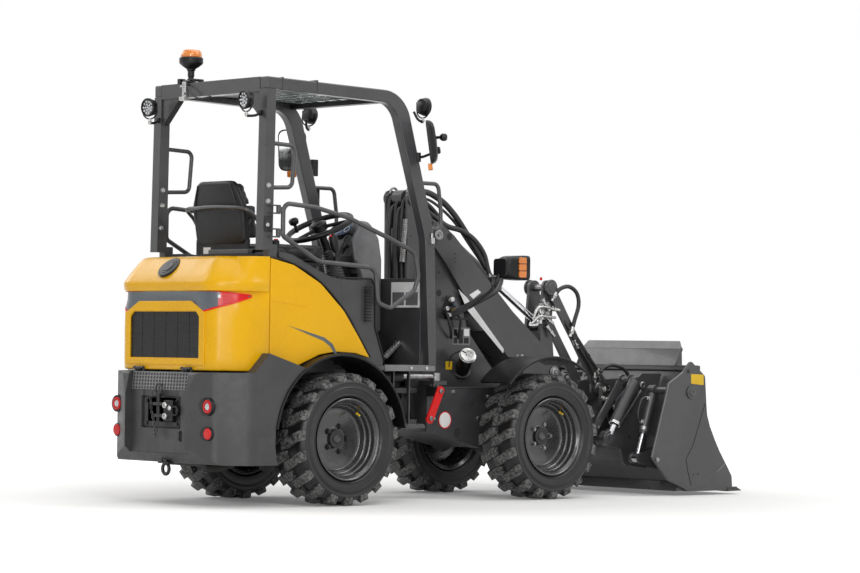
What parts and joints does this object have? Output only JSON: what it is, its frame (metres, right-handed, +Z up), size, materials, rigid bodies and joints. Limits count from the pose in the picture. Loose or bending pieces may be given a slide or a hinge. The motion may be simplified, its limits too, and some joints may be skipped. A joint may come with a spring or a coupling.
{
  "type": "compact wheel loader",
  "caption": "Compact articulated wheel loader with a four-post canopy, a single boom and a two-piece bucket.",
  "frame": {"origin": "on the ground under the middle of the overall length and width", "axes": "+X forwards towards the bucket, +Y to the left, +Z up"},
  "size_m": [3.796, 1.28, 2.374],
  "materials": {
    "yellow_paint": "gloss",
    "grey_paint": "satin",
    "rim_paint": "satin",
    "black_plastic": "matte",
    "tyre": "matte",
    "rod_chrome": "polished",
    "pin_steel": "brushed",
    "seat_vinyl": "matte",
    "lamp_lens": "clear",
    "amber_lens": "gloss",
    "red_lens": "gloss",
    "roof_sheet": "satin",
    "engine_iron": "rough"
  },
  "bodies": {
    "rear_frame": {"rear_chassis": "grey_paint", "rear_axle": "grey_paint", "engine_block": "engine_iron", "counterweight": "grey_paint", "rear_fenders": "black_plastic", "side_panels": "yellow_paint", "platform": "grey_paint", "side_consoles": "grey_paint", "seat_base": "black_plastic", "seat_cushions": "seat_vinyl", "steering_column": "black_plastic", "steering_wheel": "black_plastic", "canopy_side_frames": "grey_paint", "canopy_rear_frame": "grey_paint", "roof_panel": "roof_sheet", "beacon": "amber_lens", "work_lights": "lamp_lens", "mirrors": "black_plastic", "grab_handles": "grey_paint", "tail_lamps": "red_lens", "rear_hitch": "pin_steel", "tow_eye": "pin_steel"},
    "hood": {"hood_shell": "yellow_paint", "hood_grille": "black_plastic"},
    "right_gate": {"right_gate_loop": "grey_paint"},
    "left_gate": {"left_gate_loop": "grey_paint"},
    "front_frame": {"front_chassis": "grey_paint", "front_axle": "grey_paint", "front_fenders": "black_plastic", "headlights": "black_plastic"},
    "steering_barrel": {"steer_barrel": "grey_paint"},
    "steering_rod": {"steer_rod": "rod_chrome"},
    "boom": {"boom_arm": "grey_paint"},
    "lift_cylinder": {"lift_barrel": "grey_paint"},
    "lift_piston": {"lift_rod": "rod_chrome"},
    "tilt_base_pin": {"mast_pin": "pin_steel"},
    "tilt_cylinder": {"tilt_barrel": "grey_paint"},
    "tilt_piston": {"tilt_rod": "rod_chrome"},
    "rocker_shaft": {"rocker_pin": "pin_steel"},
    "rocker": {"rocker_lever": "grey_paint"},
    "link_shaft": {"link_pin": "pin_steel"},
    "link": {"bucket_link": "grey_paint"},
    "coupler_shaft": {"coupler_pin": "pin_steel"},
    "bucket": {"coupler_frame": "grey_paint", "back_blade": "grey_paint"},
    "clam": {"clam_shell": "grey_paint"},
    "clam_cylinders": {"clam_barrels": "grey_paint"},
    "clam_pistons": {"clam_rods": "rod_chrome"},
    "rear_left_wheel": {"rear_left_tyre": "tyre", "rear_left_rim": "rim_paint"},
    "rear_right_wheel": {"rear_right_tyre": "tyre", "rear_right_rim": "rim_paint"},
    "front_left_wheel": {"front_left_tyre": "tyre", "front_left_rim": "rim_paint"},
    "front_right_wheel": {"front_right_tyre": "tyre", "front_right_rim": "rim_paint"}
  },
  "joints": [
    {"name": "hood_opening", "type": "hinge", "parent": "rear_frame", "child": "hood", "pos_m": [-1.852, 0, 0.7], "axis": [0, -1, 0], "range_deg": [0, 55]},
    {"name": "right_gate_swing", "type": "hinge", "parent": "rear_frame", "child": "right_gate", "pos_m": [-1.496, -0.49, 1.4], "axis": [0, 0, -1], "range_deg": [0, 95]},
    {"name": "left_gate_swing", "type": "hinge", "parent": "rear_frame", "child": "left_gate", "pos_m": [-1.496, 0.49, 1.4], "axis": [0, 0, 1], "range_deg": [0, 95]},
    {"name": "rear_left_wheel_spin", "type": "hinge", "parent": "rear_frame", "child": "rear_left_wheel", "pos_m": [-1.048, 0.42, 0.345], "axis": [0, 1, 0], "continuous": true},
    {"name": "rear_right_wheel_spin", "type": "hinge", "parent": "rear_frame", "child": "rear_right_wheel", "pos_m": [-1.048, -0.42, 0.345], "axis": [0, 1, 0], "continuous": true},
    {"name": "front_left_wheel_spin", "type": "hinge", "parent": "front_frame", "child": "front_left_wheel", "pos_m": [0.436, 0.42, 0.345], "axis": [0, 1, 0], "continuous": true},
    {"name": "front_right_wheel_spin", "type": "hinge", "parent": "front_frame", "child": "front_right_wheel", "pos_m": [0.436, -0.42, 0.345], "axis": [0, 1, 0], "continuous": true},
    {"name": "steering", "type": "hinge", "parent": "rear_frame", "child": "front_frame", "pos_m": [-0.306, 0, 0.5], "axis": [0, 0, 1], "range_deg": [-40, 40]},
    {"name": "steering_barrel_swing", "type": "hinge", "parent": "rear_frame", "child": "steering_barrel", "pos_m": [-0.798, -0.175, 0.668], "axis": [0, 0, 1], "range_deg": [-14, 14]},
    {"name": "steering_rod_stroke", "type": "slide", "parent": "steering_barrel", "child": "steering_rod", "axis": [0.9955, -0.0948, 0], "range_m": [-0.19, 0.19]},
    {"name": "boom_lift", "type": "hinge", "parent": "front_frame", "child": "boom", "pos_m": [-0.073, 0, 1.4455], "axis": [0, -1, 0], "range_deg": [0, 80]},
    {"name": "lift_cylinder_swing", "type": "hinge", "parent": "front_frame", "child": "lift_cylinder", "pos_m": [-0.048, 0, 0.4], "axis": [0, -1, 0], "range_deg": [-10, 2]},
    {"name": "lift_rod_stroke", "type": "slide", "parent": "lift_cylinder", "child": "lift_piston", "axis": [0.1763, 0, 0.9843], "range_m": [0, 0.5]},
    {"name": "tilt_base_pin_turn", "type": "hinge", "parent": "front_frame", "child": "tilt_base_pin", "pos_m": [-0.222, 0, 1.646], "axis": [0, -1, 0], "range_deg": [0, 73.9]},
    {"name": "tilt_cylinder_swing", "type": "hinge", "parent": "tilt_base_pin", "child": "tilt_cylinder", "pos_m": [-0.222, 0, 1.646], "axis": [0, -1, 0], "range_deg": [-6, 6]},
    {"name": "tilt_rod_stroke", "type": "slide", "parent": "tilt_cylinder", "child": "tilt_piston", "axis": [0.8416, 0, -0.5401], "range_m": [-0.14, 0.14]},
    {"name": "rocker_shaft_turn", "type": "hinge", "parent": "boom", "child": "rocker_shaft", "pos_m": [0.847, 0, 0.694], "axis": [0, 1, 0], "range_deg": [0, 60.18]},
    {"name": "rocker_swing", "type": "hinge", "parent": "rocker_shaft", "child": "rocker", "pos_m": [0.847, 0, 0.694], "axis": [0, 1, 0], "range_deg": [-36, 36]},
    {"name": "link_shaft_turn", "type": "hinge", "parent": "rocker", "child": "link_shaft", "pos_m": [0.849, 0, 1.178], "axis": [0, 1, 0], "range_deg": [-43.6, 0]},
    {"name": "link_swing", "type": "hinge", "parent": "link_shaft", "child": "link", "pos_m": [0.849, 0, 1.178], "axis": [0, 1, 0], "range_deg": [-30, 30]},
    {"name": "coupler_shaft_turn", "type": "hinge", "parent": "boom", "child": "coupler_shaft", "pos_m": [1.192, 0, 0.314], "axis": [0, 1, 0], "range_deg": [0, 87.3]},
    {"name": "bucket_tilt", "type": "hinge", "parent": "coupler_shaft", "child": "bucket", "pos_m": [1.192, 0, 0.314], "axis": [0, 1, 0], "range_deg": [-45, 45]},
    {"name": "clam_opening", "type": "hinge", "parent": "bucket", "child": "clam", "pos_m": [1.487, 0, 0.59], "axis": [0, -1, 0], "range_deg": [0, 50]},
    {"name": "clam_cylinder_swing", "type": "hinge", "parent": "clam", "child": "clam_cylinders", "pos_m": [1.322, 0, 0.6], "axis": [0, -1, 0], "range_deg": [-72, 2]},
    {"name": "clam_rod_stroke", "type": "slide", "parent": "clam_cylinders", "child": "clam_pistons", "axis": [-0.3199, 0, -0.9474], "range_m": [-0.1, 0.01]}
  ],
  "couplings": [
    {"joint": "steering_barrel_swing", "follows": "steering", "ratio": 0.228},
    {"joint": "steering_rod_stroke", "follows": "steering", "m_per_rad": 0.2127},
    {"joint": "lift_cylinder_swing", "follows": "boom_lift", "ratio": -0.085},
    {"joint": "lift_rod_stroke", "follows": "boom_lift", "m_per_rad": 0.341},
    {"joint": "tilt_base_pin_turn", "follows": "boom_lift", "ratio": 0.9236},
    {"joint": "tilt_cylinder_swing", "follows": "bucket_tilt", "ratio": 0.0893},
    {"joint": "tilt_rod_stroke", "follows": "bucket_tilt", "m_per_rad": 0.152},
    {"joint": "rocker_shaft_turn", "follows": "boom_lift", "ratio": 0.7521},
    {"joint": "rocker_swing", "follows": "bucket_tilt", "ratio": 0.739},
    {"joint": "link_shaft_turn", "follows": "boom_lift", "ratio": -0.5449},
    {"joint": "link_swing", "follows": "bucket_tilt", "ratio": -0.611},
    {"joint": "coupler_shaft_turn", "follows": "boom_lift", "ratio": 1.0911},
    {"joint": "clam_cylinder_swing", "follows": "clam_opening", "ratio": -1.38},
    {"joint": "clam_rod_stroke", "follows": "clam_opening", "m_per_rad": -0.0965}
  ]
}
